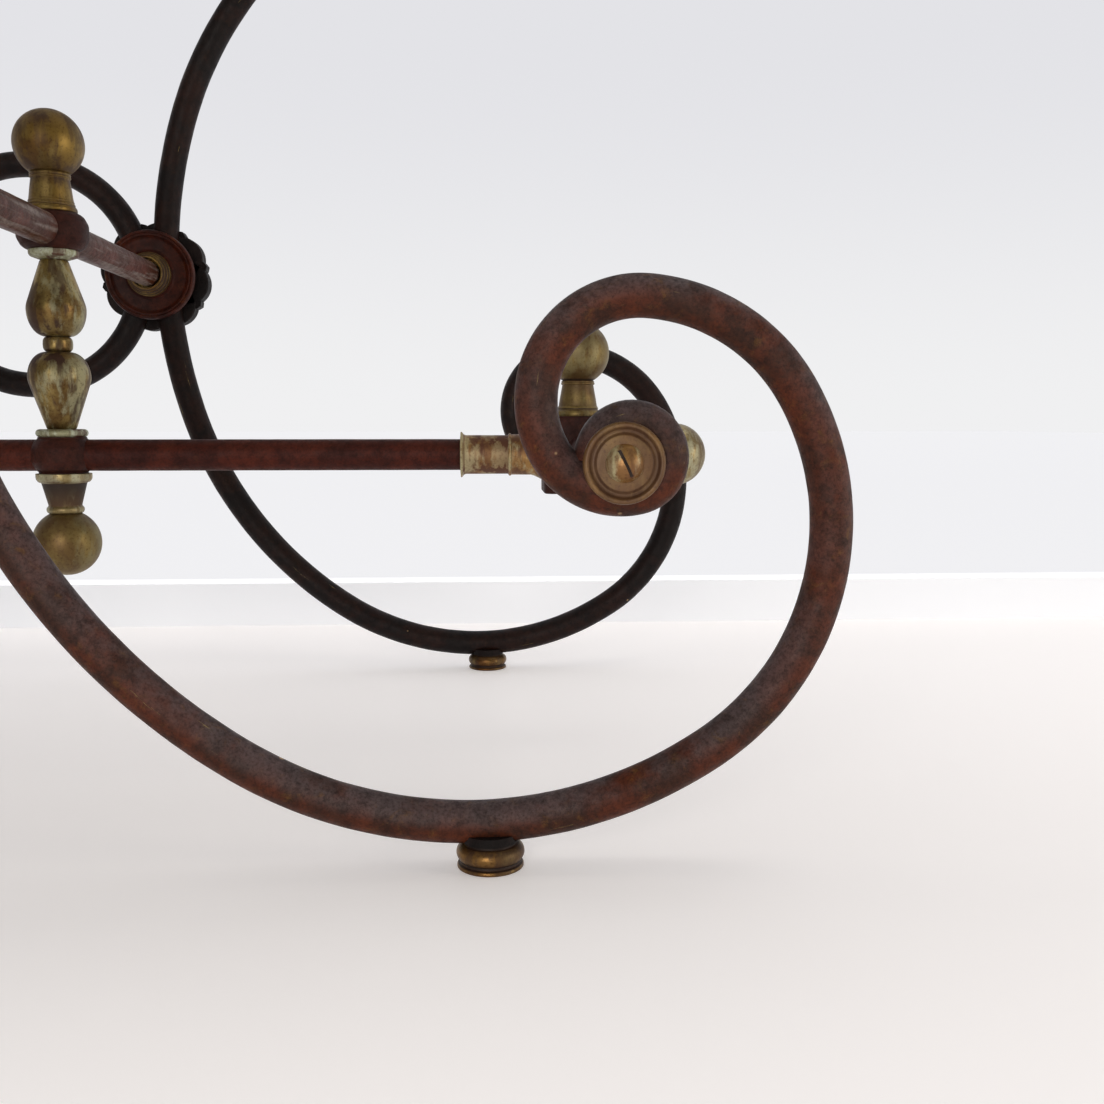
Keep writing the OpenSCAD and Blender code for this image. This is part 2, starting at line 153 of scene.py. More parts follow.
def from_shape(name, shape, crease=35):
    """An object made of a bmesh, which is freed. It has creases past the angle in degrees."""
    mesh = bpy.data.meshes.new(name)
    shape.to_mesh(mesh)
    shape.free()
    smooth(mesh, crease)
    return new_piece(name, mesh)


def join_rings(shape, rings):
    """Joins rings of vertices with faces, one to the next. A ring may be a single vertex."""
    around = max(len(ring) for ring in rings)
    for low, high in zip(rings, rings[1:]):
        for i in range(around):
            j = (i + 1) % around
            corners = [low[i % len(low)], low[j % len(low)], high[j % len(high)], high[i % len(high)]]
            corners = list(dict.fromkeys(corners))
            if len(corners) > 2:
                shape.faces.new(corners)
    bmesh.ops.recalc_face_normals(shape, faces=shape.faces)


def finish_piece(piece, finish, slot, *nodes, body="base"):
    """Gives a piece its finish and its body, and hides the nodes of the frame that it stands for."""
    piece.data.materials.clear()
    piece.data.materials.append(finish)
    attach(piece, body)
    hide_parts(*nodes)


def set_inputs(modifier, **values):
    """Sets a modifier's named inputs, by the identifiers of their sockets."""
    for item in modifier.node_group.interface.items_tree:
        label = item.name.replace(" ", "_")
        if item.item_type == "SOCKET" and item.in_out == "INPUT" and label in values:
            modifier[item.identifier] = values[label]


# -------------------------------------------------------------------------------- Geometry Nodes
def tree_with(name, **sockets):
    """An empty geometry tree with named inputs, and its input and output nodes."""
    tree = bpy.data.node_groups.new(name, "GeometryNodeTree")
    tree.interface.new_socket("Geometry", in_out="INPUT", socket_type="NodeSocketGeometry")
    for label, kind in sockets.items():
        tree.interface.new_socket(label.replace("_", " "), in_out="INPUT", socket_type=kind)
    tree.interface.new_socket("Geometry", in_out="OUTPUT", socket_type="NodeSocketGeometry")
    return tree, tree.nodes.new("NodeGroupInput").outputs, tree.nodes.new("NodeGroupOutput")


def end_tree(tree, geometry, finish, result):
    """Ends a tree with real geometry that wears its finish."""
    whole = add(tree, "GeometryNodeRealizeInstances", {"Geometry": geometry})
    finished = add(tree, "GeometryNodeSetMaterial",
                   {"Geometry": whole.outputs["Geometry"], "Material": finish})
    tree.links.new(finished.outputs["Geometry"], result.inputs["Geometry"])


def forged_bar_tree():
    """Sweeps a round bar along a path and beats its surface slightly out of true.

    The attribute girth scales the bar along the path. bar_place keeps each point's place in the
    straight bar: across, across and along, in metres, so that scratches and scale follow the bar.
    """
    tree, given, result = tree_with(
        "forged bar", Bar_Radius="NodeSocketFloat", Sides="NodeSocketInt", Hammer_Depth="NodeSocketFloat",
        Hammer_Size="NodeSocketFloat", Seed="NodeSocketFloat", Finish="NodeSocketMaterial")
    path = add(tree, "GeometryNodeMeshToCurve", {"Mesh": given["Geometry"]})
    girth = add(tree, "GeometryNodeInputNamedAttribute", {"Name": "girth"}, data_type="FLOAT")
    thick = add(tree, "GeometryNodeSetCurveRadius",
                {"Curve": path.outputs["Curve"], "Radius": girth.outputs["Attribute"]})
    run = add(tree, "GeometryNodeSplineParameter")
    marked = add(tree, "GeometryNodeStoreNamedAttribute",
                 {"Geometry": thick.outputs["Curve"], "Name": "along", "Value": run.outputs["Length"]},
                 data_type="FLOAT", domain="POINT")
    section = add(tree, "GeometryNodeCurvePrimitiveCircle",
                  {"Resolution": given["Sides"], "Radius": given["Bar Radius"]})
    place = add(tree, "GeometryNodeInputPosition")
    across = add(tree, "GeometryNodeStoreNamedAttribute",
                 {"Geometry": section.outputs["Curve"], "Name": "across", "Value": place.outputs["Position"]},
                 data_type="FLOAT_VECTOR", domain="POINT")
    bar = add(tree, "GeometryNodeCurveToMesh",
              {"Curve": marked.outputs["Geometry"], "Profile Curve": across.outputs["Geometry"],
               "Fill Caps": True})
    read_across = add(tree, "GeometryNodeInputNamedAttribute", {"Name": "across"}, data_type="FLOAT_VECTOR")
    read_along = add(tree, "GeometryNodeInputNamedAttribute", {"Name": "along"}, data_type="FLOAT")
    split = add(tree, "ShaderNodeSeparateXYZ", {"Vector": read_across.outputs["Attribute"]})
    straight = add(tree, "ShaderNodeCombineXYZ",
                   {"X": split.outputs["X"], "Y": split.outputs["Y"], "Z": read_along.outputs["Attribute"]})
    placed = add(tree, "GeometryNodeStoreNamedAttribute",
                 {"Geometry": bar.outputs["Mesh"], "Name": "bar_place", "Value": straight.outputs["Vector"]},
                 data_type="FLOAT_VECTOR", domain="POINT")
    shift = add(tree, "ShaderNodeCombineXYZ", {"X": given["Seed"], "Y": given["Seed"], "Z": given["Seed"]})
    seeded = add(tree, "ShaderNodeVectorMath", {0: place.outputs["Position"], 1: shift.outputs["Vector"]},
                 operation="ADD")
    scale = add(tree, "ShaderNodeMath", {0: 1.0, 1: given["Hammer Size"]}, operation="DIVIDE")
    dents = add(tree, "ShaderNodeTexNoise",
                {"Vector": seeded.outputs["Vector"], "Scale": scale.outputs["Value"], "Detail": 2.0})
    centred = add(tree, "ShaderNodeMath", {0: dents.outputs["Fac"], 1: 0.5}, operation="SUBTRACT")
    depth = add(tree, "ShaderNodeMath", {0: centred.outputs["Value"], 1: given["Hammer Depth"]},
                operation="MULTIPLY")
    outward = add(tree, "GeometryNodeInputNormal")
    push = add(tree, "ShaderNodeVectorMath", {0: outward.outputs["Normal"], "Scale": depth.outputs["Value"]},
               operation="SCALE")
    beaten = add(tree, "GeometryNodeSetPosition",
                 {"Geometry": placed.outputs["Geometry"], "Offset": push.outputs["Vector"]})
    end_tree(tree, beaten.outputs["Geometry"], given["Finish"], result)
    return tree


def setting_out_tree():
    """Sets a copy of a piece on each point, turned by the point's attribute turn."""
    tree, given, result = tree_with("set out on points", Piece="NodeSocketObject",
                                    Finish="NodeSocketMaterial")
    piece = add(tree, "GeometryNodeObjectInfo", {"Object": given["Piece"]})
    points = add(tree, "GeometryNodeMeshToPoints", {"Mesh": given["Geometry"]})
    turn = add(tree, "GeometryNodeInputNamedAttribute", {"Name": "turn"}, data_type="FLOAT_VECTOR")
    copies = add(tree, "GeometryNodeInstanceOnPoints",
                 {"Points": points.outputs["Points"], "Instance": piece.outputs["Geometry"],
                  "Rotation": turn.outputs["Attribute"]})
    end_tree(tree, copies.outputs["Instances"], given["Finish"], result)
    return tree


FORGED_BAR = forged_bar_tree()
SETTING_OUT = setting_out_tree()


def forged_bar(name, points, finish, girths=None, closed=False, hammer=0.5 * MM, seed=0.0):
    """A round bar along the points."""
    mesh = bpy.data.meshes.new(name + " path")
    edges = [(i, i + 1) for i in range(len(points) - 1)] + ([(len(points) - 1, 0)] if closed else [])
    mesh.from_pydata(points, edges, [])
    girth = mesh.attributes.new("girth", "FLOAT", "POINT")
    girth.data.foreach_set("value", girths or [1.0] * len(points))
    path = new_piece(name + " path", mesh)
    modifier = path.modifiers.new("forge", "NODES")
    modifier.node_group = FORGED_BAR
    set_inputs(modifier, Bar_Radius=BAR_R, Sides=40, Hammer_Depth=hammer, Hammer_Size=24 * MM, Seed=seed,
               Finish=finish)
    bar = settled(name, path)
    smooth(bar.data, 50)
    return bar


def set_out(name, piece, places, finish):
    """Copies of a piece at each (point, turn) of the places. The piece itself is removed."""
    mesh = bpy.data.meshes.new(name + " points")
    mesh.from_pydata([point for point, turn in places], [], [])
    turns = mesh.attributes.new("turn", "FLOAT_VECTOR", "POINT")
    turns.data.foreach_set("vector", [value for point, turn in places for value in turn])
    points = new_piece(name + " points", mesh)
    modifier = points.modifiers.new("set out", "NODES")
    modifier.node_group = SETTING_OUT
    set_inputs(modifier, Piece=piece, Finish=finish)
    whole = settled(name, points)
    drop(piece)
    return whole


# ------------------------------------------------------------------------------------ turned work
def arc(x, z, r, start, end, steps=8):
    """Points of an arc in a turned outline: centre, radius, first and last angle in degrees."""
    angles = [math.radians(start + (end - start) * i / steps) for i in range(steps + 1)]
    return [(x + r * math.cos(a), z + r * math.sin(a)) for a in angles]


def shoulder(r0, z0, r1, z1, steps=12):
    """Points of a quarter ellipse from (r0, z0) at its widest to (r1, z1) at its end."""
    angles = [math.pi / 2 * i / steps for i in range(steps + 1)]
    return [(r1 + (r0 - r1) * math.cos(a), z0 + (z1 - z0) * math.sin(a)) for a in angles]


def worn(outline, wear=0.45):
    """Rounds the corners of an outline by up to the wear in millimetres."""
    eased = [outline[0]]
    for before, corner, after in zip(outline, outline[1:], outline[2:]):
        p, q, r = Vector(before), Vector(corner), Vector(after)
        inward, onward = (p - q), (r - q)
        if inward.length < 1e-6 or onward.length < 1e-6 or inward.angle(onward) > math.radians(165):
            eased.append(corner)
            continue
        a = q + inward.normalized() * min(wear, inward.length * 0.45)
        b = q + onward.normalized() * min(wear, onward.length * 0.45)
        for t in (0.0, 0.33, 0.67, 1.0):
            point = a * (1 - t) ** 2 + q * 2 * t * (1 - t) + b * t ** 2
            eased.append(tuple(point))
    return eased + [outline[-1]]


def hollows(outline, reach=2.5):
    """For each outline point, how far what lies near it stands out past it, from 0 to 1."""
    points = [Vector(point) for point in outline]
    depths = []
    for i, point in enumerate(points):
        run = points[min(i + 1, len(points) - 1)] - points[max(i - 1, 0)]
        out = Vector((run.y, -run.x)).normalized()
        steps = [near - point for near in points if (near - point).length < reach]
        rise = max(max(step.dot(out), step.x * out.x) for step in steps)
        depths.append(max(0.0, min(1.0, rise / 1.6 - 0.25)))
    return depths


def turned(name, outline, foot=(0, 0, 0), along=(0, 0, 1), sides=96, wear=0.45):
    """A solid turned piece. The outline runs from the bottom of its axis to the top, in millimetres.

    turning keeps each point's distance along the outline and groove how deep it lies in a groove.
    """
    if wear:
        outline = worn(outline, wear)
    depths = hollows(outline)
    place = Vector(along).to_track_quat("Z", "Y").to_matrix().to_4x4()
    place.translation = Vector(foot)
    shape = bmesh.new()
    turning = shape.verts.layers.float.new("turning")
    groove = shape.verts.layers.float.new("groove")
    rings = []
    run = 0.0
    last = outline[0]
    for (r, z), depth in zip(outline, depths):
        run += math.hypot(r - last[0], z - last[1]) * MM
        last = (r, z)
        count = 1 if r < 1e-5 else sides
        ring = []
        for i in range(count):
            a = 2 * math.pi * i / sides
            vertex = shape.verts.new(place @ Vector((r * MM * math.cos(a), r * MM * math.sin(a), z * MM)))
            vertex[turning] = run
            vertex[groove] = depth
            ring.append(vertex)
        rings.append(ring)
    join_rings(shape, rings)
    return from_shape(name, shape, 50)


def ball(radius, neck_radius):
    """Outline of a ball that stands on a neck, from the neck up. Height 0 is where they meet."""
    rise = math.sqrt(radius ** 2 - neck_radius ** 2)
    start = -math.degrees(math.asin(rise / radius))
    return [(0, 0)] + arc(0, rise, radius, start, 90, 36)[:-1] + [(0, rise + radius)]


# -------------------------------------------------------------------------------------- finishes
def material(name):
    """A new material with one surface, its tree and that surface."""
    made = bpy.data.materials.new(name)
    made.use_nodes = True
    tree = made.node_tree
    tree.nodes.clear()
    surface = tree.nodes.new("ShaderNodeBsdfPrincipled")
    output = tree.nodes.new("ShaderNodeOutputMaterial")
    tree.links.new(surface.outputs["BSDF"], output.inputs["Surface"])
    return made, tree, surface


def patches(tree, where, size, low, high, most=1.0, detail=5.0, roughness=0.6, distortion=0.0):
    """Noise with patches of about the size in metres, and how much of a coat shows through it.

    None of the coat shows where the noise is below low, and most where it is above high. The size
    is one length or three.
    """
    if isinstance(size, tuple):
        scale = [1 / length for length in size]
        where = add(tree, "ShaderNodeMapping", {"Vector": where, "Scale": scale}).outputs["Vector"]
        size = 1.0
    texture = add(tree, "ShaderNodeTexNoise",
                  {"Vector": where, "Scale": 1 / size, "Detail": detail, "Roughness": roughness,
                   "Distortion": distortion}).outputs["Fac"]
    share = add(tree, "ShaderNodeMapRange",
                {"Value": texture, "From Min": low, "From Max": high, "To Max": most},
                interpolation_type="SMOOTHSTEP")
    return texture, share.outputs["Result"]


def coated(tree, colour, *coats):
    """A colour under its coats, the lowest first. Each coat is its share and its colour."""
    for share, coat in coats:
        mixed = add(tree, "ShaderNodeMix", {"Factor": share, "A": colour, "B": coat}, data_type="RGBA")
        colour = mixed.outputs["Result"]
    return colour


def scratches_and_chips(tree, where, lengthwise, most):
    """Two coats: gold-brown scratches 60 mm long, and a pale chip of 3 mm here and there."""
    scratches = patches(tree, lengthwise, (3.5 * MM, 3.5 * MM, 60 * MM), 0.66, 0.71, 0.8, 6.0, 0.7)[1]
    cells = add(tree, "ShaderNodeTexVoronoi", {"Vector": where, "Scale": 1 / (9 * MM)})
    pick = add(tree, "ShaderNodeSeparateColor", {"Color": cells.outputs["Color"]}).outputs["Red"]
    rare = add(tree, "ShaderNodeMapRange",
               {"Value": pick, "From Min": 0.965, "From Max": 0.975, "To Max": most},
               interpolation_type="SMOOTHSTEP")
    near = add(tree, "ShaderNodeMath", {0: 0.3, 1: cells.outputs["Distance"]}, operation="SUBTRACT")
    spot = add(tree, "ShaderNodeMapRange",
               {"Value": near.outputs["Value"], "From Min": 0.1, "From Max": 0.18},
               interpolation_type="SMOOTHSTEP")
    chip = add(tree, "ShaderNodeMath", {0: rare.outputs["Result"], 1: spot.outputs["Result"]},
               operation="MULTIPLY")
    return (scratches, "#8f7d4c"), (chip.outputs["Value"], "#b99a72")


def wrought_iron(name, body, red, black, sheen, ochre, mottle=0.5, painted_top_sheen=0.4, rubbed_sheen=0.0, rust=0.5, rough=0.5,
                 chips=0.0):
    """Old oxide skin: red-brown rust, black mill scale, ochre bloom and a violet-grey painted sheen.

    Patches of colour are 30 to 50 mm long, dark mottles 4 to 8 mm and the grain 2 mm, drawn coarser
    than real scale so that it shows. The sheen is a painted reflection of the light from above, laid on
    what faces up. Rubbed lines run along the bar for 60 to 120 mm in the sheen colour: partly rubbed
    wear and partly painted reflection.
    """
    made, tree, surface = material(name)
    where = add(tree, "ShaderNodeTexCoord").outputs["Object"]
    lengthwise = add(tree, "ShaderNodeAttribute", attribute_name="bar_place").outputs["Vector"]
    normal = add(tree, "ShaderNodeNewGeometry").outputs["Normal"]
    facing = add(tree, "ShaderNodeSeparateXYZ", {"Vector": normal}).outputs["Z"]
    # Painted sheen: what faces up turns paler, a painted reflection of the light from above.
    up_facing_sheen = add(tree, "ShaderNodeMapRange",
                 {"Value": facing, "From Min": -0.3, "From Max": 0.75, "To Max": painted_top_sheen},
                 interpolation_type="SMOOTHSTEP")
    sheen_patches = patches(tree, where, 70 * MM, 0.36, 0.56, 1.0, 6.0, 0.66)[1]
    painted_top_sheen_share = add(tree, "ShaderNodeMath", {0: up_facing_sheen.outputs["Result"], 1: sheen_patches}, operation="MULTIPLY")
    mottles, mottled = patches(tree, where, 7 * MM, 0.42, 0.7, mottle, 8.0, 0.7)
    grain, grained = patches(tree, where, 1.7 * MM, 0.4, 0.7, mottle, 5.0, 0.7)
    coats = [(patches(tree, where, 34 * MM, 0.4, 0.6, 1.0, 6.0, 0.66)[1], red),
             (painted_top_sheen_share.outputs["Value"], sheen)]
    # Rubbed lines in the sheen colour: partly rubbed wear, partly a painted reflection of the light from
    # above.
    if rubbed_sheen:
        lines = patches(tree, lengthwise, (7 * MM, 7 * MM, 95 * MM), 0.46, 0.58, rubbed_sheen, 7.0, 0.66)[1]
        coats.append((lines, sheen))
    coats += [(mottled, black),
              (patches(tree, where, 12 * MM, 0.54, 0.74, rust, 8.0, 0.72, 0.4)[1], ochre),
              (grained, black)]
    if chips:
        coats += scratches_and_chips(tree, where, lengthwise, chips)
    tree.links.new(coated(tree, body, *coats), surface.inputs["Base Color"])
    surface.inputs["Specular IOR Level"].default_value = 0.16
    dull = add(tree, "ShaderNodeMapRange", {"Value": mottles, "From Min": 0.35, "From Max": 0.65,
                                            "To Min": rough - 0.08, "To Max": rough + 0.14})
    tree.links.new(dull.outputs["Result"], surface.inputs["Roughness"])
    relief = add(tree, "ShaderNodeMath", {0: mottles, 1: grain}, operation="ADD")
    bump = add(tree, "ShaderNodeBump", {"Height": relief.outputs["Value"], "Strength": 0.35,
                                        "Distance": 0.6 * MM})
    tree.links.new(bump.outputs["Normal"], surface.inputs["Normal"])
    return made


def patinated_brass(name, bright, dull, brown, bloom, verdigris=0.35, stain=0.6, metal=0.85, rough=0.36):
    """Turned brass gone khaki: brown tarnish, rust run into its grooves, a pale green bloom and near-black
    painted shade in the deepest grooves.

    Stains run down the piece for 30 to 60 mm, 6 to 12 mm wide. The turning lines are half a
    millimetre apart.
    """
    made, tree, surface = material(name)
    where = add(tree, "ShaderNodeTexCoord").outputs["Object"]
    turning = add(tree, "ShaderNodeAttribute", attribute_name="turning").outputs["Fac"]
    groove = add(tree, "ShaderNodeAttribute", attribute_name="groove").outputs["Fac"]
    polished = patches(tree, where, 24 * MM, 0.4, 0.6)[1]
    runs = patches(tree, where, (12 * MM, 12 * MM, 70 * MM), 0.48, 0.58, stain, 6.0, 0.6)[1]
    rusty = add(tree, "ShaderNodeMath", {0: runs, 1: groove}, operation="ADD",
                use_clamp=True).outputs["Value"]
    green = patches(tree, where, (16 * MM, 16 * MM, 60 * MM), 0.47, 0.57, verdigris, 8.0, 0.66)[1]
    clear = add(tree, "ShaderNodeMath", {0: 1.0, 1: rusty}, operation="SUBTRACT").outputs["Value"]
    green = add(tree, "ShaderNodeMath", {0: green, 1: clear}, operation="MULTIPLY").outputs["Value"]
    specks, speckled = patches(tree, where, 1.8 * MM, 0.5, 0.72, 0.6, 4.0)
    # Painted shade: the deepest grooves are darkened to near-black.
    painted_groove_shade = add(tree, "ShaderNodeMapRange",
               {"Value": groove, "From Min": 0.7, "From Max": 1.0, "To Max": 0.85},
               interpolation_type="SMOOTHSTEP")
    colour = coated(tree, dull, (polished, bright), (rusty, brown), (green, bloom), (speckled, brown),
                    (painted_groove_shade.outputs["Result"], "#140b06"))
    tree.links.new(colour, surface.inputs["Base Color"])
    crust = add(tree, "ShaderNodeMath", {0: green, 1: rusty}, operation="MAXIMUM").outputs["Value"]
    bare = add(tree, "ShaderNodeMapRange", {"Value": crust, "To Min": metal, "To Max": 0.3})
    tree.links.new(bare.outputs["Result"], surface.inputs["Metallic"])
    dulled = add(tree, "ShaderNodeMapRange", {"Value": crust, "To Min": rough, "To Max": 0.6})
    tree.links.new(dulled.outputs["Result"], surface.inputs["Roughness"])
    rings = add(tree, "ShaderNodeMath", {0: turning, 1: 1 / (0.5 * MM)}, operation="MULTIPLY")
    marks = add(tree, "ShaderNodeTexNoise", {"W": rings.outputs["Value"], "Scale": 1.0, "Detail": 2.0},
                noise_dimensions="1D")
    relief = add(tree, "ShaderNodeMath", {0: marks.outputs["Fac"], 1: specks}, operation="ADD")
    bump = add(tree, "ShaderNodeBump", {"Height": relief.outputs["Value"], "Strength": 0.25,
                                        "Distance": 0.2 * MM})
    tree.links.new(bump.outputs["Normal"], surface.inputs["Normal"])
    return made


def honed_marble(name):
    """White marble, honed and waxed: grey veins 2 to 6 mm wide that wander, over soft cloudy patches."""
    made, tree, surface = material(name)
    where = add(tree, "ShaderNodeTexCoord").outputs["Object"]
    wander = add(tree, "ShaderNodeTexNoise", {"Vector": where, "Scale": 1 / (260 * MM), "Detail": 9.0,
                                              "Roughness": 0.62, "Distortion": 1.6})
    vein = add(tree, "ShaderNodeValToRGB", {"Fac": wander.outputs["Fac"]},
               [(0.47, 0.0), (0.5, 0.65), (0.53, 0.0)])
    clouds = add(tree, "ShaderNodeTexNoise", {"Vector": where, "Scale": 1 / (150 * MM), "Detail": 6.0})
    cloud = add(tree, "ShaderNodeValToRGB", {"Fac": clouds.outputs["Fac"]},
                [(0.35, "#d9d6cf"), (0.65, "#ebe8e2")])
    veined = coated(tree, cloud.outputs["Color"], (vein.outputs["Color"], "#9c9da1"))
    tree.links.new(veined, surface.inputs["Base Color"])
    surface.inputs["Roughness"].default_value = 0.32
    grain = add(tree, "ShaderNodeTexNoise", {"Vector": where, "Scale": 1 / (2.5 * MM), "Detail": 4.0})
    bump = add(tree, "ShaderNodeBump", {"Height": grain.outputs["Fac"], "Strength": 0.12,
                                        "Distance": 0.2 * MM})
    tree.links.new(bump.outputs["Normal"], surface.inputs["Normal"])
    return made


FRONT_IRON = wrought_iron("waxed wrought iron", "#3a2015", "#542715", "#150c0a", "#5b5152", "#74501f",
                          mottle=0.55, painted_top_sheen=0.75, rust=0.45, rough=0.5, chips=0.9)
# A darker copy of the iron for the rear legs and both rings: its near-black is painted shade, for parts that
# lie in the shade under the top.
SHADE_DARKENED_IRON = wrought_iron("shade-darkened wrought iron", "#100706", "#220d06", "#040202", "#2a2220", "#36210d",
                         mottle=0.6, painted_top_sheen=0.25, rust=0.4, rough=0.5, chips=0.9)
# The cross bars' long pale streaks are partly rubbed wear and partly a painted reflection of the light from
# above.
CROSS_IRON = wrought_iron("hand-worn wrought iron", "#46210f", "#5c2818", "#1f0f0a", "#7f7068", "#5a3c1c",
                          mottle=0.55, painted_top_sheen=0.2, rubbed_sheen=0.9, rust=0.4, rough=0.42)
OXIDE_IRON = wrought_iron("red-oxide iron bar", "#3a130a", "#4e1b0b", "#150704", "#4a2a22", "#502911",
                          mottle=0.5, painted_top_sheen=0.2, rust=0.35, rough=0.55)
HUB_IRON = wrought_iron("red-oxide iron casting", "#2d110b", "#3e190e", "#130705", "#3c2624", "#4c2c14",
                        mottle=0.5, painted_top_sheen=0.25, rust=0.35, rough=0.55)
DISC_IRON = wrought_iron("rusted iron disc", "#2a0c06", "#421709", "#120402", "#74402f", "#6e3e14",
                         mottle=0.6, painted_top_sheen=0.2, rust=0.6, rough=0.5)
CAST_IRON = wrought_iron("blackened cast iron", "#0f0a09", "#190b08", "#050303", "#241c1b", "#2a1a0d",
                         mottle=0.6, painted_top_sheen=0.3, rust=0.3, rough=0.6)
STEEL = wrought_iron("dull steel", "#3a3532", "#443a34", "#22201f", "#76706a", "#5c4630",
                     mottle=0.4, painted_top_sheen=0.4, rust=0.3, rough=0.45)
KHAKI_BRASS = patinated_brass("khaki tarnished brass", "#8f7a48", "#614a28", "#38200f", "#a6a684",
                              verdigris=0.55, stain=0.8, rough=0.32)
GOLD_BRASS = patinated_brass("gold-brown tarnished brass", "#80662f", "#5c421c", "#341d0c", "#86784a",
                             verdigris=0.3, stain=0.5, metal=0.75, rough=0.4)
BALL_BRASS = patinated_brass("olive tarnished brass", "#7d6a3c", "#644e2b", "#432b15", "#84805c",
                             verdigris=0.4, stain=0.2, metal=0.7, rough=0.42)
DISC_BRASS = patinated_brass("brown-khaki brass", "#75552b", "#5b3d1f", "#43270f", "#80683e",
                             verdigris=0.3, stain=0.35, metal=0.2, rough=0.45)
PALE_BRASS = patinated_brass("grey-green bloomed brass", "#94845a", "#72603a", "#50371d", "#b0b196",
                             verdigris=0.65, stain=0.4, metal=0.7)
BRASS_WASHER = patinated_brass("verdigris brass", "#9a9a7a", "#7e7a58", "#4a1c0e", "#b9bfa9",
                               verdigris=0.9, stain=0.8, metal=0.5, rough=0.5)
SALMON_BRASS = patinated_brass("rust-washed brass", "#a07a45", "#805b34", "#54301a", "#b3ae88",
                               verdigris=0.75, stain=0.6, metal=0.6)
FOOT_BRASS = patinated_brass("rubbed brown brass", "#7c5c31", "#5d3f21", "#331c0c", "#857c50",
                             verdigris=0.35, stain=0.6)
MARBLE = honed_marble("honed white marble")


# ------------------------------------------------------------------------------------ scroll legs
def arm(arcs, up, step=2.4):
    """Points of one arm in the leg frame's plane, from the waist, in millimetres."""
    heading = -90.0
    place = Vector((0, 0))
    points = []
    for radius, sweep in arcs:
        side = Vector((math.cos(math.radians(heading - 90)), math.sin(math.radians(heading - 90))))
        centre = place - side * radius
        count = math.ceil(math.radians(sweep) * radius / step)
        for i in range(count):
            a = math.radians(heading - 90 + sweep * i / count)
            points.append(centre + radius * Vector((math.cos(a), math.sin(a))))
        heading += sweep
        a = math.radians(heading - 90)
        place = centre + radius * Vector((math.cos(a), math.sin(a)))
    points.append(place)
    return [(x, -z if up else z) for x, z in points]


def tip_girths(points, reach=7 * MM):
    """Girth along a bar whose two ends are hammered round."""
    girths = []
    runs = [0.0]
    for a, b in zip(points, points[1:]):
        runs.append(runs[-1] + (Vector(b) - Vector(a)).length)
    for run in runs:
        left = min(run, runs[-1] - run)
        girths.append(1.0 if left > reach else 0.25 + 0.75 * math.sqrt(max(0.0, 1 - (1 - left / reach) ** 2)))
    return girths


def scroll_leg(face, side):
    """One leg bar, from the tip of its lower eye over the waist to the tip of its upper volute."""
    low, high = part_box(f"leg_{face}_{side}")
    waist_x = min(abs(low.x), abs(high.x)) + BAR_R
    lower, upper = arm(LOWER_ARM, False), arm(UPPER_ARM, True)
    crest = max(z for x, z in upper) * MM
    waist_z = high.z - BAR_R - crest
    plane = lower[:0:-1] + upper
    points = [(SIDES[side] * (waist_x + x * MM), FACES[face] * FRAME_Y, waist_z + z * MM) for x, z in plane]
    # The rear legs wear the darker copy of the iron: painted shade.
    finish = FRONT_IRON if face == "front" else SHADE_DARKENED_IRON
    leg = forged_bar(f"scroll_leg_{face}_{side}", points, finish, tip_girths(points),
                     seed=SIDES[side] + 3 * FACES[face])
    finish_piece(leg, finish, "iron", f"leg_{face}_{side}")


def ring(face):
    """The closed ring between the two legs of a leg frame."""
    count = 260
    angles = [2 * math.pi * i / count for i in range(count)]
    points = [(RING_R * math.cos(a), FACES[face] * FRAME_Y, ROSETTE_Z + RING_R * math.sin(a)) for a in angles]
    # The rings wear the darker copy of the iron: painted shade.
    bar = forged_bar(f"centre_ring_{face}", points, SHADE_DARKENED_IRON, closed=True, seed=7 + FACES[face])
    finish_piece(bar, SHADE_DARKENED_IRON, "iron", f"ring_{face}")


for face in FACES:
    ring(face)
    for side in SIDES:
        scroll_leg(face, side)


# -------------------------------------------------------------------------------- straight bars
def straight(start, end, step=4 * MM):
    """Points every few millimetres from one place to another."""
    a, b = Vector(start), Vector(end)
    count = math.ceil((b - a).length / step)
    return [tuple(a.lerp(b, i / count)) for i in range(count + 1)]


def upper_crossbar(side):
    """The bar through the spindle, from the front rosette to the rear one."""
    x = SIDES[side] * SPINDLE_X
    reach = INNER_Y - 6 * MM
    bar = forged_bar(f"upper_cross_bar_{side}", straight((x, -reach, ROSETTE_Z), (x, reach, ROSETTE_Z)),
                     CROSS_IRON, seed=11 + SIDES[side], hammer=0.4 * MM)
    finish_piece(bar, CROSS_IRON, "iron", f"upper_crossbar_{side}")


def lower_crossbar(side):
    """The bar from the front eye to the rear eye, with a plain collar at each."""
    x = SIDES[side] * EYE_X
    reach = INNER_Y - 2 * MM
    bar = forged_bar(f"lower_cross_bar_{side}", straight((x, -reach, EYE_Z), (x, reach, EYE_Z)),
                     HUB_IRON, seed=15 + SIDES[side], hammer=0.4 * MM)
    collar = [(0, 0), (22, 0), (22, 5), (0, 5)]
    collars = [turned("collar", collar, (x, -INNER_Y, EYE_Z), (0, 1, 0)),
               turned("collar", collar, (x, INNER_Y, EYE_Z), (0, -1, 0))]
    finish_piece(joined(f"lower_cross_bar_{side}", [bar] + collars), HUB_IRON, "iron",
                 f"lower_crossbar_{side}")


